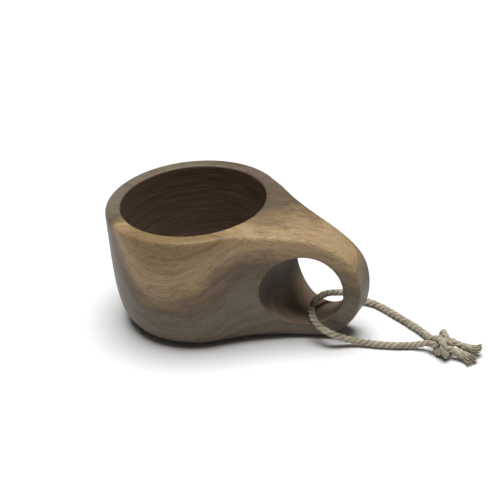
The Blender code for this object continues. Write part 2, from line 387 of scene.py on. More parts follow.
# %% [markdown]
# ## One cord from tip to tip
# Tail, knot, loop, knot and tail are a single length of rope, so they are one line here, and the
# three strands wind along it without a break. The line is then cut into the loop, the knot and the
# two tails, which meet ring to ring.

# %% The whole line
RING_STEP = 0.0005
ROPE_LAY = 0.0102
MEASURING_STEPS = 800
KNOT_THINNING = 3
whole_route = np.vstack([
    TAIL_TIPS[0][::-1], knot_cords[0][::-KNOT_THINNING], LOOP_ROUTE[2:-3],
    knot_cords[1][::KNOT_THINNING], TAIL_TIPS[1],
])
measured = smooth_curve(whole_route, MEASURING_STEPS)
route_length = np.linalg.norm(np.diff(measured, axis=0), axis=1).sum()
line = smooth_curve(whole_route, int(route_length / RING_STEP))
line_run = np.concatenate([[0], np.cumsum(np.linalg.norm(np.diff(line, axis=0), axis=1))])
line_side, line_top = travel_frames(line, (0, 0, 1))


def ring_near(place):
    return int(np.argmin(np.linalg.norm(line - np.array(place), axis=1)))


cut_tail_a, cut_tail_b = ring_near(KNOT_EXITS[0]), ring_near(KNOT_EXITS[1])
cut_loop_a, cut_loop_b = ring_near(KNOT_ENTRIES[0]), ring_near(KNOT_ENTRIES[1])
print("cord from tip to tip, mm:", round(line_run[-1] * 1000, 1), "cuts:", cut_tail_a, cut_loop_a,
      cut_loop_b, cut_tail_b)

# %% [markdown]
# ## Twisted strands
# The section of three strands laid together is a trefoil: each lobe is the outer part of a strand.
# It turns once in every lay length, to the left, and the strands' thickness wanders a
# little, as hand-drawn fibre does. Three separate tubes would do as well, but one skin
# has no faces hidden inside it. Every point also keeps its place on the straight, unwound rope, so
# that the finish can run its fibres along the cord wherever it goes.

# %% Rope surface
SECTION_POINTS = 36
STRAND_RADIUS = 0.63 * CORD_RADIUS
STRAND_CENTRE = CORD_RADIUS - STRAND_RADIUS
SLUB = 0.07
SLUB_STEP = 0.0035
GROOVE_TOP, GROOVE_SPAN = 0.72, 0.28
FIBRE_TURN = 0.35
# Swung right up, the rope clears the ring of wood by under 0.2 mm, and a stray fibre enters the wood
# by about 0.35 mm. With seed 11 the rope cleared it by 0.3 mm, but more faces of fibres met it.
ROPE_SEED = 7
rng = np.random.default_rng(ROPE_SEED)
slub_values = rng.normal(0, 1, (3, int(line_run[-1] / SLUB_STEP) + 3))


def strand_size(run):
    """How thick each of the three strands is at each place along the cord, 1 on average."""
    place = np.arange(slub_values.shape[1]) * SLUB_STEP
    return 1 + SLUB * np.stack([np.interp(run, place, row) for row in slub_values], axis=1)


def rope_rings(first, last, swell=None):
    """Rings of the twisted rope between two places on the line. A point's distance from the middle
    is that of the furthest strand: its centre's share plus the root of what its radius leaves."""
    rings = slice(first, last + 1)
    run = line_run[rings, None]
    angle = np.linspace(0, 2 * math.pi, SECTION_POINTS, endpoint=False)[None]
    wind = -2 * math.pi * run / ROPE_LAY
    size = strand_size(line_run[rings])
    reach = np.zeros((len(run), SECTION_POINTS))
    for strand in range(3):
        off = angle - wind - strand * 2 * math.pi / 3
        across = (STRAND_CENTRE * np.sin(off)) ** 2
        radius = STRAND_RADIUS * size[:, strand:strand + 1]
        hit = STRAND_CENTRE * np.cos(off) + np.sqrt(np.clip(radius ** 2 - across, 0, None))
        reach = np.maximum(reach, np.where(across < radius ** 2, hit, 0))
    groove = 1 - np.clip((reach / CORD_RADIUS - GROOVE_TOP) / GROOVE_SPAN, 0, 1)
    if swell is not None:
        reach = reach * swell[:, None]
    flesh = reach[..., None] * (np.cos(angle)[..., None] * line_side[rings, None]
                                + np.sin(angle)[..., None] * line_top[rings, None])
    points = line[rings, None] + flesh
    fibre_turn = angle - FIBRE_TURN * wind
    unwound = np.stack([CORD_RADIUS * np.cos(fibre_turn), CORD_RADIUS * np.sin(fibre_turn),
                        np.broadcast_to(run, reach.shape)], axis=2)
    return points.reshape(-1, 3), unwound.reshape(-1, 3), groove.ravel()


def tube_faces(rings, sides):
    """Quads between rings, and a cap of one face at each end."""
    i, j = np.meshgrid(np.arange(rings - 1), np.arange(sides), indexing="ij")
    a, b = i * sides + j, i * sides + (j + 1) % sides
    quads = np.stack([a, b, b + sides, a + sides], axis=2).reshape(-1, 4).tolist()
    return quads + [list(range(sides - 1, -1, -1)), list(range((rings - 1) * sides, rings * sides))]


print("rings along the cord:", len(line), "of", SECTION_POINTS, "points")

# %% [markdown]
# ## Loose fibres
# Hemp sheds fine fibres along its whole length, and at the cut ends the strands open into a fan of
# them. A hair system could grow them, but it would have to be turned into a mesh in the end. Here
# every fibre is a thin tapered tube from the start, and all of them are worked out together.

# %% Fibres
FIBRE_SIDES = 4
FIBRE_CROSS = (0.31, 0.17, 0.93)
STRAY_STEPS, STRAY_MARGIN = 6, 4
STRAY_LENGTH, STRAY_LIFT = (0.0012, 0.0032), (0.25, 0.75)
STRAY_RADIUS, STRAY_TAPER = (0.00003, 0.00006), 0.3
STRAY_ARC, STRAY_HEIGHT = 2.2, 0.6
STRAY_ROOT, STRAY_LOWEST = 0.82, 0.0001
FRAY_STEPS, FRAY_OVERLAP = 12, 0.002
FRAY_JITTER = (-0.0020, 0.0009)
FRAY_BUNDLE, FRAY_OPENING = 1.04, 1.4
FRAY_OVERSHOOT, FRAY_HEIGHT = 1.3, 0.25
FRAY_WINDING, FRAY_UNTWIST = 0.6, 0.5
FRAY_WOBBLE, FRAY_WAVES = 0.00030, 7
FRAY_RADIUS, FRAY_TAPER, FRAY_LOWEST = (0.00022, 0.00048), 0.62, 0.00022


def fibre_tubes(paths, radius):
    """Tubes for many fibres at once. Paths is fibres x rings x 3, radius is fibres x rings."""
    along = np.gradient(paths, axis=1)
    along /= np.linalg.norm(along, axis=2, keepdims=True)
    side = np.cross(along, np.array(FIBRE_CROSS))
    side /= np.linalg.norm(side, axis=2, keepdims=True)
    top = np.cross(along, side)
    angle = np.arange(FIBRE_SIDES) * 2 * math.pi / FIBRE_SIDES
    ring = (np.cos(angle)[:, None] * side[:, :, None] + np.sin(angle)[:, None] * top[:, :, None])
    points = paths[:, :, None] + radius[:, :, None, None] * ring
    one = tube_faces(paths.shape[1], FIBRE_SIDES)
    stride = paths.shape[1] * FIBRE_SIDES
    faces = [[v + stride * k for v in face] for k in range(len(paths)) for face in one]
    return points.reshape(-1, 3), faces


def stray_fibres(first, last, count):
    """Short fibres that leave the rope at a slant and curl back towards it: a step along the rope
    plus a step away from it that follows a sine."""
    at = rng.integers(first + STRAY_MARGIN, last - STRAY_MARGIN, count)
    angle = rng.uniform(0, 2 * math.pi, count)
    across = np.cos(angle)[:, None] * line_side[at] + np.sin(angle)[:, None] * line_top[at]
    along = (line[at + 1] - line[at - 1]) / (2 * RING_STEP) * rng.choice([-1, 1], count)[:, None]
    length = rng.uniform(*STRAY_LENGTH, count)
    lift = rng.uniform(*STRAY_LIFT, count)
    t = np.linspace(0, 1, STRAY_STEPS)[None, :, None]
    arc = across[:, None] * np.sin(t * STRAY_ARC) * STRAY_HEIGHT
    sweep = length[:, None, None] * (along[:, None] * t + lift[:, None, None] * arc)
    paths = line[at][:, None] + STRAY_ROOT * CORD_RADIUS * across[:, None] + sweep
    paths[..., 2] = np.maximum(paths[..., 2], STRAY_LOWEST)
    taper = np.linspace(1, STRAY_TAPER, STRAY_STEPS)
    return fibre_tubes(paths, rng.uniform(*STRAY_RADIUS, count)[:, None] * taper[None])


def frayed_end(tip_first, fray, fan, rise, count):
    """Fibres of an unravelled end. They follow the line past its tip, unwinding as they go, and
    their distance from its middle grows with a power of how far out they are."""
    back = fray + FRAY_OVERLAP
    t = np.linspace(0, 1, FRAY_STEPS)
    jitter = rng.uniform(*FRAY_JITTER, count)
    run = back * t[None] + jitter[:, None] * t[None] ** 2
    from_tip = back - run
    place = from_tip if tip_first else line_run[-1] - from_tip
    inside = np.clip(place, 0, line_run[-1])
    beyond = (inside - place) if tip_first else (place - inside)
    centre = np.stack([np.interp(inside, line_run, column) for column in line.T], axis=2)
    ahead = (line[0] - line[1]) if tip_first else (line[-1] - line[-2])
    centre = centre + beyond[..., None] * ahead / np.linalg.norm(ahead)
    up = np.array([0, 0, 1.0])
    level = np.cross(np.gradient(centre, axis=1), up)
    level /= np.linalg.norm(level, axis=2, keepdims=True)
    rho = CORD_RADIUS * FRAY_BUNDLE * np.sqrt(rng.uniform(0, 1, count))[:, None]
    theta = rng.uniform(0, 2 * math.pi, count)[:, None]
    wound = 2 * math.pi * np.minimum(run, back * FRAY_WINDING) / ROPE_LAY
    untwist = theta - wound * FRAY_UNTWIST
    open_up = np.clip(1 - from_tip / fray, 0, FRAY_OVERSHOOT) ** FRAY_OPENING
    wobble = rng.normal(0, FRAY_WOBBLE, (count, 1)) * np.sin(FRAY_WAVES * t[None] + theta)
    wobble = wobble * open_up
    across = rho * np.cos(untwist) * (1 + fan * open_up) + wobble
    raised = rho * np.sin(untwist) * (1 + FRAY_HEIGHT * open_up) + rise * open_up ** 2 + wobble
    paths = centre + across[..., None] * level + raised[..., None] * up
    paths[..., 2] = np.maximum(paths[..., 2], FRAY_LOWEST)
    taper = np.linspace(1, FRAY_TAPER, FRAY_STEPS)
    return fibre_tubes(paths, rng.uniform(*FRAY_RADIUS, count)[:, None] * taper[None])


print("fibre sides:", FIBRE_SIDES, "steps:", STRAY_STEPS, FRAY_STEPS)

# %% [markdown]
# ## Hemp
# Hemp is a dry, dull, straw-grey fibre. Each cord shows fine fibres along its length, paler and
# darker threads side by side, painted shade in the grooves between the strands, and no gloss
# beyond a faint sheen. The pattern reads each point's place on the unwound rope.

# %% Hemp finish
HEMP_PALE = (0.50, 0.445, 0.335, 1)
HEMP_MID = (0.33, 0.285, 0.20, 1)
# The deepest hemp tone: dark patches in the fibre itself, and painted shade in the grooves.
HEMP_DARK_AND_SHADE = (0.13, 0.10, 0.06, 1)


THREAD_DRAW = (1.0, 1.0, 0.09)
THREAD_SCALE, YARN_SCALE, PATCH_SCALE = 2600.0, 900.0, 160.0
THREAD_SHARE, PATCH_SHARE, GROOVE_SHADE_SHARE = 0.6, 0.35, 0.85


def make_hemp():
    """Pale and mid threads drawn out along the cord, darker in patches, and darker in the grooves by
    painted shade.
    """
    material, tree, shader = new_material("natural_hemp", 0.92, 0.18)
    shader.inputs["Sheen Weight"].default_value = 0.25
    shader.inputs["Sheen Roughness"].default_value = 0.6
    unwound = node(tree, "Attribute", attribute_name="unwound").outputs["Vector"]
    groove = node(tree, "Attribute", attribute_name="groove").outputs["Fac"]
    drawn = stretched(tree, unwound, THREAD_DRAW)
    threads = noise(tree, drawn, THREAD_SCALE, 3.0, 0.6)
    yarns = maths(tree, "MULTIPLY", noise(tree, drawn, YARN_SCALE, 2.0), 1 - THREAD_SHARE)
    tone = maths(tree, "MULTIPLY_ADD", threads, THREAD_SHARE, yarns)
    base = mix_colour(tree, smooth_step(tree, tone, 0.38, 0.62), HEMP_MID, HEMP_PALE)
    patches = smooth_step(tree, noise(tree, unwound, PATCH_SCALE, 2.0), 0.5, 0.75)
    base = mix_colour(tree, maths(tree, "MULTIPLY", patches, PATCH_SHARE), base, HEMP_DARK_AND_SHADE)
    # Painted shade in the grooves between the strands, deepest where the groove is deepest.
    shade = maths(tree, "MULTIPLY", smooth_step(tree, groove, 0.15, 1.0), GROOVE_SHADE_SHARE)
    base = mix_colour(tree, shade, base, HEMP_DARK_AND_SHADE)
    tree.links.new(base, shader.inputs["Base Color"])
    bump = node(tree, "Bump", in_Strength=0.7, in_Distance=0.0003, in_Height=tone)
    tree.links.new(bump.outputs[0], shader.inputs["Normal"])
    return material


hemp = make_hemp()
print("material:", hemp.name)

# %% [markdown]
# ## The cord's pieces
# The loop, the knot and the two tails are one rope on the real object. It could be one mesh here
# too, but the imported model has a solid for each, so each stretch of the line becomes a piece that
# stands for one of them. The knot has both cords in it. All four ride on the cord's body.

# %% Cord pieces
FIBRE_PLACE_SHIFT = 0.05
FIBRE_GROOVE = 0.12


def cord_piece(name, ropes, fibre_sets):
    """One mesh from stretches of rope and their fibres, with each point's unwound place and groove
    depth as attributes. A rope's end caps are shaded flat, so that they do not bend its normals."""
    points, unwound, groove, faces = [], [], [], []
    start = 0
    for rope_points, rope_unwound, rope_groove in ropes:
        rings = len(rope_points) // SECTION_POINTS
        faces += [[v + start for v in face] for face in tube_faces(rings, SECTION_POINTS)]
        start += len(rope_points)
        points.append(rope_points)
        unwound.append(rope_unwound)
        groove.append(rope_groove)
    for fibre_points, fibre_faces in fibre_sets:
        faces += [[v + start for v in face] for face in fibre_faces]
        start += len(fibre_points)
        points.append(fibre_points)
        unwound.append(fibre_points + FIBRE_PLACE_SHIFT)
        groove.append(np.full(len(fibre_points), FIBRE_GROOVE))
    points = np.vstack(points)
    mesh_piece = make_piece(name, points, faces, hemp, "cord")
    mesh = mesh_piece.data
    sides = np.empty(len(mesh.polygons), dtype=np.int32)
    mesh.polygons.foreach_get("loop_total", sides)
    mesh.polygons.foreach_set("use_smooth", sides < SECTION_POINTS)
    mesh.attributes.new("unwound", "FLOAT_VECTOR", "POINT").data.foreach_set(
        "vector", np.vstack(unwound).astype(np.float32).ravel())
    mesh.attributes.new("groove", "FLOAT", "POINT").data.foreach_set(
        "value", np.concatenate(groove).astype(np.float32))
    print(name, "faces:", len(faces), "low, high mm:",
          (points.min(axis=0) * 1000).round(1), (points.max(axis=0) * 1000).round(1))
    return mesh_piece


FRAY = (0.0075, 0.0100)
FAN, FAN_RISE = (0.34, 0.95), (0.0012, 0.0)
FRAY_FIBRES = (75, 100)
LOOP_STRAYS, KNOT_STRAYS = 260, 60
TIP_INSIDE = 0.0026
TAIL_SWELL, SWELL_LENGTH = 0.22, 0.004
TIP_THINNING = 0.6


def tail_swell(first, last, tip_first, fray):
    """Half thickness at the tip, where the strands have come apart, growing to full over the fray,
    and fuller still away from the knot, where nothing squeezes the rope."""
    run = line_run[first:last + 1]
    from_tip = run - run[0] if tip_first else run[-1] - run
    from_knot = run[-1] - run if tip_first else run - run[0]
    loose = np.clip(from_knot / SWELL_LENGTH, 0, 1)
    return (0.5 + 0.5 * np.clip(from_tip / fray, 0, 1) ** TIP_THINNING) * (1 + TAIL_SWELL * loose)


inner_a = int(TIP_INSIDE / RING_STEP)
inner_b = len(line) - 1 - inner_a
swell_a = tail_swell(inner_a, cut_tail_a, True, FRAY[0])
swell_b = tail_swell(cut_tail_b, inner_b, False, FRAY[1])
tail_a = cord_piece("cord_tail_upper", [rope_rings(inner_a, cut_tail_a, swell_a)],
                    [frayed_end(True, FRAY[0], FAN[0], FAN_RISE[0], FRAY_FIBRES[0])])
loop = cord_piece("cord_loop_rope", [rope_rings(cut_loop_a, cut_loop_b)],
                  [stray_fibres(cut_loop_a, cut_loop_b, LOOP_STRAYS)])
tail_b = cord_piece("cord_tail_lower", [rope_rings(cut_tail_b, inner_b, swell_b)],
                    [frayed_end(False, FRAY[1], FAN[1], FAN_RISE[1], FRAY_FIBRES[1])])
knot = cord_piece("cord_overhand_knot",
                  [rope_rings(cut_tail_a, cut_loop_a), rope_rings(cut_loop_b, cut_tail_b)],
                  [stray_fibres(cut_tail_a, cut_loop_a, KNOT_STRAYS),
                   stray_fibres(cut_loop_b, cut_tail_b, KNOT_STRAYS)])

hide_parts("cord_loop")
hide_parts("cord_knot")
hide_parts("cord_tail_a")
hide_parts("cord_tail_b")
print("loop, mm:", round((line_run[cut_loop_b] - line_run[cut_loop_a]) * 1000, 1))

# %% [markdown]
# ## The cup's form
# The cup is one smooth solid: a round bowl seen from above, whose flanks draw in to a slim handle,
# cut to a side outline that falls from the rim over the tip and back under to the foot. The form
# is written as a distance: negative inside the wood, zero on its skin. Two shapes are joined by
# taking the larger distance, and a rounded corner between them softens the edge as sandpaper does.
# The plain CAD solid could be bevelled instead, but its flat faces would show in the long curves.

# %% Measures of the form
HEIGHT = float(cup_high[2])
RIM_RADIUS = float(cup_high[1])
BOWL_X = float(cup_low[0]) + RIM_RADIUS
BASE_RADIUS = 0.0360
WALL_FULLNESS, FOOT_ROUNDNESS = 5.2, 2.07
FLANK_START, FLANK_REFERENCE, FLANK_END = 0.030, 0.040, 0.098
TIP_HALF_WIDTH, FLANK_SPREAD, FLANK_POWER = 0.0086, 0.0219, 1.8
HANDLE_DRAFT_SHARE = 0.12
SIDE_OUTLINE = [
    (0.0250, HEIGHT), (0.0380, HEIGHT), (0.0465, 0.0665), (0.0805, 0.0582), (0.0970, 0.0435),
    (0.0965, 0.0189), (0.0799, 0.0022), (0.0545, 0.0), (0.0350, 0.0),
]
EDGE_ROUND = 0.0025
MOUTH_RADIUS, BOWL_DEPTH, BOWL_SQUARENESS = 0.0400, 0.0555, 2.6
MOUTH_ROUND = 0.0009
HOLE_RADIUS, HOLE_X, HOLE_Z = 0.0205, 0.0690, 0.0308
HOLE_ROUND = 0.0016
OUTLINE_STEPS = 90
print("mouth, hole, mm:", 2000 * MOUTH_RADIUS, 2000 * HOLE_RADIUS)

# %% Form functions
def distance_to_outline(x, z, outline):
    """Signed distance from points (x, z) to a closed polygon, negative inside."""
    gap = np.full(x.shape, np.inf)
    inside = np.zeros(x.shape, dtype=bool)
    for (ax, az), (bx, bz) in zip(outline, np.roll(outline, -1, axis=0)):
        ex, ez = bx - ax, bz - az
        along = np.clip(((x - ax) * ex + (z - az) * ez) / (ex * ex + ez * ez), 0, 1)
        gap = np.minimum(gap, (x - ax - along * ex) ** 2 + (z - az - along * ez) ** 2)
        if ez != 0:
            inside ^= ((az > z) != (bz > z)) & (x < ax + (z - az) * ex / ez)
    return np.where(inside, -1, 1) * np.sqrt(gap)


def round_join(a, b, radius):
    """The larger of two distances, with the corner where they meet rounded to the radius."""
    a, b = a + radius, b + radius
    return np.minimum(np.maximum(a, b), 0) + np.hypot(np.maximum(a, 0), np.maximum(b, 0)) - radius


def wall_inset(z):
    """How far the bowl's wall stands in from the rim's radius at height z."""
    depth = np.clip(1 - z / HEIGHT, 0, 1)
    return (RIM_RADIUS - BASE_RADIUS) * (1 - (1 - depth ** WALL_FULLNESS) ** (1 / FOOT_ROUNDNESS))


def plan_distance(x, y, z):
    """Distance outside the teardrop plan: a round bowl whose flanks draw in to the handle."""
    reach = np.clip(1 - (x - FLANK_REFERENCE) / (FLANK_END - FLANK_REFERENCE), 0, None)
    flank = TIP_HALF_WIDTH + FLANK_SPREAD * reach ** FLANK_POWER
    slope = FLANK_SPREAD * FLANK_POWER * reach ** (FLANK_POWER - 1) / (FLANK_END - FLANK_REFERENCE)
    join_y = math.sqrt(RIM_RADIUS ** 2 - FLANK_START ** 2)
    round_side = x * join_y < np.abs(y) * FLANK_START
    share = np.clip((x - FLANK_START) / (FLANK_END - FLANK_START), 0, 1)
    share = 1 - (1 - HANDLE_DRAFT_SHARE) * share * share * (3 - 2 * share)
    bare = np.where(round_side, np.hypot(x, y) - RIM_RADIUS,
                    (np.abs(y) - flank) / np.sqrt(1 + slope ** 2))
    return bare + wall_inset(z) * share


def hollow_distance(x, y, z):
    """Distance outside the turned hollow: a quarter superellipse, open at the rim."""
    radius = np.hypot(x, y) / MOUTH_RADIUS
    depth = np.clip(HEIGHT - z, 0, None) / BOWL_DEPTH
    squareness = (radius ** BOWL_SQUARENESS + depth ** BOWL_SQUARENESS) ** (1 / BOWL_SQUARENESS)
    grow_r = radius ** (BOWL_SQUARENESS - 1) / MOUTH_RADIUS
    grow_z = depth ** (BOWL_SQUARENESS - 1) / BOWL_DEPTH
    steepness = np.hypot(grow_r, grow_z) / np.maximum(squareness, 0.05) ** (BOWL_SQUARENESS - 1)
    return (squareness - 1) / np.maximum(steepness, 1.0)


SIDE_POLYGON = np.vstack([
    [(-2 * RIM_RADIUS, HEIGHT)],
    smooth_curve(SIDE_OUTLINE, OUTLINE_STEPS),
    [(-2 * RIM_RADIUS, 0)],
])


def cup_distance(points):
    """Distance outside the finished cup: the outer form less the hollow and the finger hole."""
    x, y, z = points[:, 0] - BOWL_X, points[:, 1], points[:, 2]
    outer = round_join(plan_distance(x, y, z), distance_to_outline(x, z, SIDE_POLYGON), EDGE_ROUND)
    bowl = round_join(outer, -hollow_distance(x, y, z), MOUTH_ROUND)
    hole = HOLE_RADIUS - np.hypot(x - HOLE_X, z - HOLE_Z)
    return round_join(bowl, hole, HOLE_ROUND)


print("side outline points:", len(SIDE_POLYGON))

# %% [markdown]
# ## Skinning the form
# A surface this soft, with a handle that closes on itself, has no single pair of parameters to
# carry a grid over it. So it is skinned the way a carver works: rough stock first, then shave down
# to the line. A copy of the plain solid is remeshed into small even squares, and each point then
# slides along the form's own slope until its distance is zero.

# %% Rough stock
SKIN_STEP = 0.00092
SHAVINGS = 5
SLOPE_STEP = 0.00004
SMOOTHING, LAST_SHARP = 0.5, 2
GENTLEST_SLOPE = 0.25
SAME_PLACE = 1e-6


def rough_stock(name, source):
    """An even skin of small squares over a copy of a CAD solid."""
    mesh = source.data.copy()
    bm = bmesh.new()
    bm.from_mesh(mesh)
    bmesh.ops.remove_doubles(bm, verts=bm.verts, dist=SAME_PLACE)
    bm.to_mesh(mesh)
    bm.free()
    stock = bpy.data.objects.new(name, mesh)
    bpy.context.collection.objects.link(stock)
    remesh = stock.modifiers.new("even_skin", "REMESH")
    remesh.mode = "VOXEL"
    remesh.voxel_size = SKIN_STEP
    depsgraph = bpy.context.evaluated_depsgraph_get()
    even = bpy.data.meshes.new_from_object(stock.evaluated_get(depsgraph))
    bpy.data.objects.remove(stock)
    return even


def read_points(mesh):
    flat = np.empty(len(mesh.vertices) * 3, dtype=np.float32)
    mesh.vertices.foreach_get("co", flat)
    return flat.reshape(-1, 3).astype(float)


def slope_of(distance, points, here):
    """Gradient of a distance function by forward steps along X, Y and Z."""
    steps = np.eye(3) * SLOPE_STEP
    return np.stack([(distance(points + step) - here) / SLOPE_STEP for step in steps], axis=1)


def relax(points, edges, share):
    """Moves each point a share of the way to the middle of its neighbours."""
    total = np.zeros_like(points)
    count = np.zeros(len(points))
    for a, b in ((0, 1), (1, 0)):
        np.add.at(total, edges[:, a], points[edges[:, b]])
        np.add.at(count, edges[:, a], 1)
    return points + share * (total / count[:, None] - points)


def shave(mesh, distance):
    """Slides every point onto the surface where the distance is zero, evening them as it goes. Each
    step is the distance along the slope, divided by the slope's square."""
    points = read_points(mesh)
    edges = np.empty(len(mesh.edges) * 2, dtype=np.int32)
    mesh.edges.foreach_get("vertices", edges)
    edges = edges.reshape(-1, 2)
    for turn in range(SHAVINGS):
        here = distance(points)
        slope = slope_of(distance, points, here)
        steep = np.maximum((slope ** 2).sum(axis=1), GENTLEST_SLOPE)
        points = points - slope * (here / steep)[:, None]
        if turn < SHAVINGS - LAST_SHARP:
            points = relax(points, edges, SMOOTHING)
    left = np.abs(distance(points)).max()
    mesh.vertices.foreach_set("co", points.astype(np.float32).ravel())
    mesh.update()
    print("skin:", len(points), "points, furthest from the form, mm:", round(left * 1000, 4))


cup_mesh = rough_stock("cup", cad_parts["cup_body"])
shave(cup_mesh, cup_distance)
cup_mesh.shade_smooth()
cup = bpy.data.objects.new("cup", cup_mesh)
bpy.context.collection.objects.link(cup)
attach(cup, "cup")
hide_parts("cup_body")

# %% [markdown]
# ## Oiled wood
# The billet was split near the outside of a trunk, so the pale sapwood lies over the brown heart,
# and the border between them is a growth ring. The grain could be drawn on each side, but then
# it would not meet at the edges. Here it is solid: growth rings are cylinders about the trunk's
# middle, which lay below and behind this billet, and each point's colour follows its distance from
# that line, warped a little as real trunks are. So the grain runs through the rim, wall and hole.

# %% Growth rings
TRUNK_Y, TRUNK_Z = 0.0400, -0.0305
SAP_BORDER, SAP_SPAN = 0.1016, 0.050
HANDLE_START, HANDLE_LIFT = 0.016, 0.50
FAR_SIDE_START, FAR_SIDE_DROP = 0.032, 32.0
WARP_DRAW, WARP_SCALE, RING_WARP = (0.55, 1, 1), 30.0, 0.0085
NOISE_MIDDLE = (0.5, 0.5, 0.5)


def trunk_rings(tree, place):
    """The warped place's x and y, its distance from the trunk's middle line, and its depth: 0.5 at
    the sapwood's border, and 1 half a span outside it. The border sinks along the handle and rises
    past the bowl's far side."""
    sway = noise(tree, stretched(tree, place, WARP_DRAW), WARP_SCALE, 2.0, 0.45, output="Color")
    sway = node(tree, "VectorMath", operation="SUBTRACT", in_0=sway, in_1=NOISE_MIDDLE).outputs[0]
    sway = node(tree, "VectorMath", operation="SCALE", in_0=sway, in_Scale=RING_WARP).outputs[0]
    warped = node(tree, "VectorMath", operation="ADD", in_0=place, in_1=sway).outputs[0]
    x, y, z = node(tree, "SeparateXYZ", in_0=warped).outputs
    handle = maths(tree, "MAXIMUM", maths(tree, "SUBTRACT", x, HANDLE_START), 0.0)
    across = maths(tree, "SUBTRACT", y, TRUNK_Y)
    above = maths(tree, "MULTIPLY_ADD", handle, HANDLE_LIFT, maths(tree, "SUBTRACT", z, TRUNK_Z))
    radius = hypotenuse(tree, across, above)
    past_bowl = maths(tree, "MAXIMUM", maths(tree, "SUBTRACT", -FAR_SIDE_START, x), 0.0)
    far_side = maths(tree, "MULTIPLY", maths(tree, "MULTIPLY", past_bowl, past_bowl), FAR_SIDE_DROP)
    depth = maths(tree, "SUBTRACT", maths(tree, "SUBTRACT", radius, SAP_BORDER), far_side)
    return x, y, radius, maths(tree, "MULTIPLY_ADD", depth, 1 / SAP_SPAN, 0.5)


print("sapwood border, mm from the trunk's middle:", 1000 * SAP_BORDER)

# %% [markdown]
# ## Tones of the wood
# A ramp turns depth into colour: grey-brown heart, a dark line at the border, then pale sapwood that
# browns again outward. Late wood and fine streaks are the same colour multiplied by a darker one,
# so they never look painted on. Pores are short dark dashes drawn out along the trunk.

# %% Tones
WOOD_TONES = [
    (0.00, (0.172, 0.138, 0.100)), (0.36, (0.162, 0.127, 0.089)), (0.50, (0.118, 0.085, 0.056)),
    (0.56, (0.168, 0.118, 0.070)), (0.65, (0.226, 0.156, 0.087)), (0.76, (0.395, 0.280, 0.151)),
    (0.88, (0.300, 0.205, 0.103)), (1.00, (0.255, 0.170, 0.080)),
]
BROAD_SCALE, BROAD_SHIFT = 260.0, 0.42
FIGURE_DRAW, FIGURE_SCALE, FIGURE_SHIFT = (0.6, 1, 1.4), 75.0, 0.25
FINE_SCALE, STREAK_SHARE, STREAK_TINT = 2300.0, 0.56, (0.55, 0.50, 0.46, 1)
LATE_SHARE, LATE_TINT = 0.34, (0.52, 0.46, 0.42, 1)
GRAIN_X, GRAIN_Y = 0.06, 0.08
PORE_DRAW, PORE_SCALE, PORE_SHARE = (0.06, 1, 1), 2600.0, 0.62
PORE_DARK = (0.050, 0.034, 0.022, 1)


def ramp_colour(tree, amount, tones):
    """A colour ramp with a stop for each place and colour of the list."""
    ramp = node(tree, "ValToRGB", in_0=amount)
    stops = ramp.color_ramp.elements
    while len(stops) < len(tones):
        stops.new(0.5)
    for stop, (position, colour) in zip(stops, tones):
        stop.position = position
        stop.color = (*colour, 1)
    return ramp.outputs[0]


def grained_wood(tree, place):
    """The bare wood's colour, and the fine grain and pores that its gloss and bump follow."""
    x, y, radius, depth = trunk_rings(tree, place)
    grain_place = node(tree, "CombineXYZ", in_0=maths(tree, "MULTIPLY", x, GRAIN_X), in_1=radius,
                       in_2=maths(tree, "MULTIPLY", y, GRAIN_Y)).outputs[0]
    broad = noise(tree, grain_place, BROAD_SCALE, 3.0, 0.55)
    fine = noise(tree, grain_place, FINE_SCALE, 4.0, 0.7)
    figure = noise(tree, stretched(tree, place, FIGURE_DRAW), FIGURE_SCALE, 3.0, distortion=0.8)
    for pattern, shift in ((broad, BROAD_SHIFT), (figure, FIGURE_SHIFT)):
        centred = maths(tree, "SUBTRACT", pattern, 0.5)
        depth = maths(tree, "MULTIPLY_ADD", centred, shift, depth)
    colour = ramp_colour(tree, depth, WOOD_TONES)
    streak = maths(tree, "MULTIPLY", smooth_step(tree, fine, 0.44, 0.66), STREAK_SHARE)
    colour = tint(tree, streak, colour, STREAK_TINT)
    late = maths(tree, "MULTIPLY", smooth_step(tree, broad, 0.50, 0.68), LATE_SHARE)
    colour = tint(tree, late, colour, LATE_TINT)
    pores = noise(tree, stretched(tree, place, PORE_DRAW), PORE_SCALE, 2.0)
    pores = maths(tree, "MULTIPLY", smooth_step(tree, pores, 0.55, 0.70), PORE_SHARE)
    return mix_colour(tree, pores, colour, PORE_DARK), fine, pores


print("wood tones:", len(WOOD_TONES))

# %% [markdown]
# ## Bowl and bore
# Years of drink darken the bowl, where the tool also leaves faint rings. They are noise
# on each point's distance from the bowl's axis and its height. The two tones by height in the bowl,
# and the two in the finger hole, are not wood colours that anyone measured but painted light and
# shade: lighter near the rim and on the hole's floor, darker deep in the bowl and over the rest of
# the hole's wall. They were fitted so that these hollows look right under this scene's one lamp,
# and partly stand in for light it lacks.

# %% Bowl and bore
INSIDE_DARK, INSIDE_LIGHT = (0.078, 0.047, 0.030, 1), (0.165, 0.106, 0.066, 1)
# Painted shade deep in the bowl and painted light near its rim, multiplied into the bowl's colour by
# height.
INSIDE_PAINTED_SHADE, INSIDE_PAINTED_LIGHT = (0.62, 0.56, 0.54, 1), (1.90, 2.08, 2.22, 1)
INSIDE_HEIGHTS = (0.026, 0.062)
INSIDE_SHARE, MOUTH_MARGIN, FLOOR_MARGIN = 0.90, 0.0006, 0.002
TURNED_SCALE, TURNED_X = 1050.0, 0.06
# Painted light on the finger hole's floor and painted shade over the rest of its wall, multiplied into
# the wood.
BORE_FLOOR_PAINTED_LIGHT, BORE_PAINTED_SHADE = (1.70, 1.54, 1.42, 1), (0.44, 0.42, 0.41, 1)
BORE_HEIGHTS, BORE_MARGINS = (-0.019, -0.003), (0.0009, 0.0003)


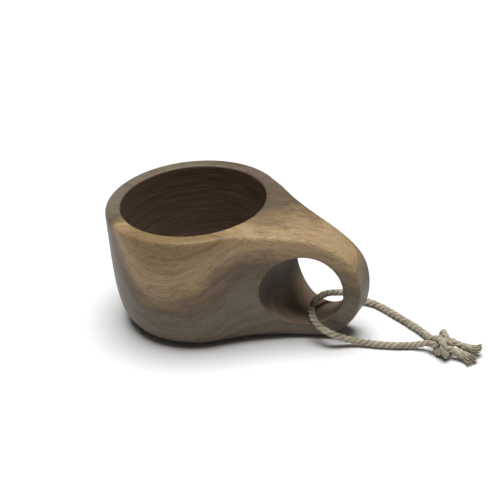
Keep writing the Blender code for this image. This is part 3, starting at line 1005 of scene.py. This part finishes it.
def bowl_tone(tree, place, colour):
    """The colour with the oiled bowl in it, darker by painted shade deep down and lighter by painted
    light near the rim; the turned rings; and where the bowl is.
    """
    x, y, z = node(tree, "SeparateXYZ", in_0=place).outputs
    from_axis = maths(tree, "SUBTRACT", x, BOWL_X)
    out = hypotenuse(tree, from_axis, y)
    inside = maths(tree, "MULTIPLY",
                   smooth_step(tree, out, MOUTH_RADIUS + MOUTH_MARGIN, MOUTH_RADIUS),
                   maths(tree, "GREATER_THAN", z, HEIGHT - BOWL_DEPTH - FLOOR_MARGIN))
    turned_place = node(tree, "CombineXYZ", in_0=out, in_1=z,
                        in_2=maths(tree, "MULTIPLY", from_axis, TURNED_X)).outputs[0]
    turned = noise(tree, turned_place, TURNED_SCALE, 4.0, 0.6)
    soaked_and_painted_light_shade = mix_colour(tree, smooth_step(tree, turned, 0.36, 0.80), INSIDE_DARK, INSIDE_LIGHT)
    # Painted shade deep in the bowl, painted light near the rim.
    painted_light_and_shade = mix_colour(tree, smooth_step(tree, z, *INSIDE_HEIGHTS), INSIDE_PAINTED_SHADE, INSIDE_PAINTED_LIGHT)
    soaked_and_painted_light_shade = tint(tree, 1.0, soaked_and_painted_light_shade, painted_light_and_shade)
    colour = mix_colour(tree, maths(tree, "MULTIPLY", inside, INSIDE_SHARE), colour, soaked_and_painted_light_shade)
    return colour, turned, inside


def bore_tone(tree, place, colour):
    """The colour with the finger hole's wall in it, lighter by painted light on its floor and darker by
    painted shade above, and where that wall is.
    """
    x, _, z = node(tree, "SeparateXYZ", in_0=place).outputs
    across = maths(tree, "SUBTRACT", maths(tree, "SUBTRACT", x, BOWL_X), HOLE_X)
    above = maths(tree, "SUBTRACT", z, HOLE_Z)
    edge, full = (HOLE_RADIUS + margin for margin in BORE_MARGINS)
    bore = smooth_step(tree, hypotenuse(tree, across, above), edge, full)
    # Painted light on the hole's floor, painted shade higher up its wall.
    painted_light_and_shade = mix_colour(tree, smooth_step(tree, above, *BORE_HEIGHTS), BORE_FLOOR_PAINTED_LIGHT, BORE_PAINTED_SHADE)
    return tint(tree, bore, colour, painted_light_and_shade), bore


print("bowl tone between, mm:", [1000 * height for height in INSIDE_HEIGHTS])

# %% [markdown]
# ## Gloss and relief
# Oil leaves wood satin: pores stay dull because oil sinks into them, and the finger hole is
# duller still. The pores are also pressed in a little and the turned rings stand up, by bump,
# since both are far finer than the skin's squares.

# %% Finish the cup
GLOSS_BASE, GLOSS_GRAIN, GLOSS_PORES, GLOSS_BORE = 0.34, 0.16, 0.30, 0.25
RELIEF_GRAIN, RELIEF_PORES, RELIEF_TURNED = 0.25, -1.0, 0.8


def make_wood():
    """Grained wood with the bowl and the bore in it, satin, and duller in pores and bore."""
    material, tree, shader = new_material("oiled_carved_wood", 0.44, 0.22)
    place = node(tree, "TexCoord").outputs["Object"]
    colour, fine, pores = grained_wood(tree, place)
    colour, turned, inside = bowl_tone(tree, place, colour)
    colour, bore = bore_tone(tree, place, colour)
    tree.links.new(colour, shader.inputs["Base Color"])
    dull = maths(tree, "MULTIPLY_ADD", fine, GLOSS_GRAIN, GLOSS_BASE)
    dull = maths(tree, "MULTIPLY_ADD", pores, GLOSS_PORES, dull)
    dull = maths(tree, "MULTIPLY_ADD", bore, GLOSS_BORE, dull)
    tree.links.new(dull, shader.inputs["Roughness"])
    grain = maths(tree, "MULTIPLY", fine, RELIEF_GRAIN)
    relief = maths(tree, "MULTIPLY_ADD", pores, RELIEF_PORES, grain)
    rings = maths(tree, "MULTIPLY", turned, inside)
    relief = maths(tree, "MULTIPLY_ADD", rings, RELIEF_TURNED, relief)
    bump = node(tree, "Bump", in_Strength=0.35, in_Distance=0.00025, in_Height=relief)
    tree.links.new(bump.outputs[0], shader.inputs["Normal"])
    return material


cup_mesh.materials.clear()
cup_mesh.materials.append(make_wood())
print("material:", cup_mesh.materials[0].name)
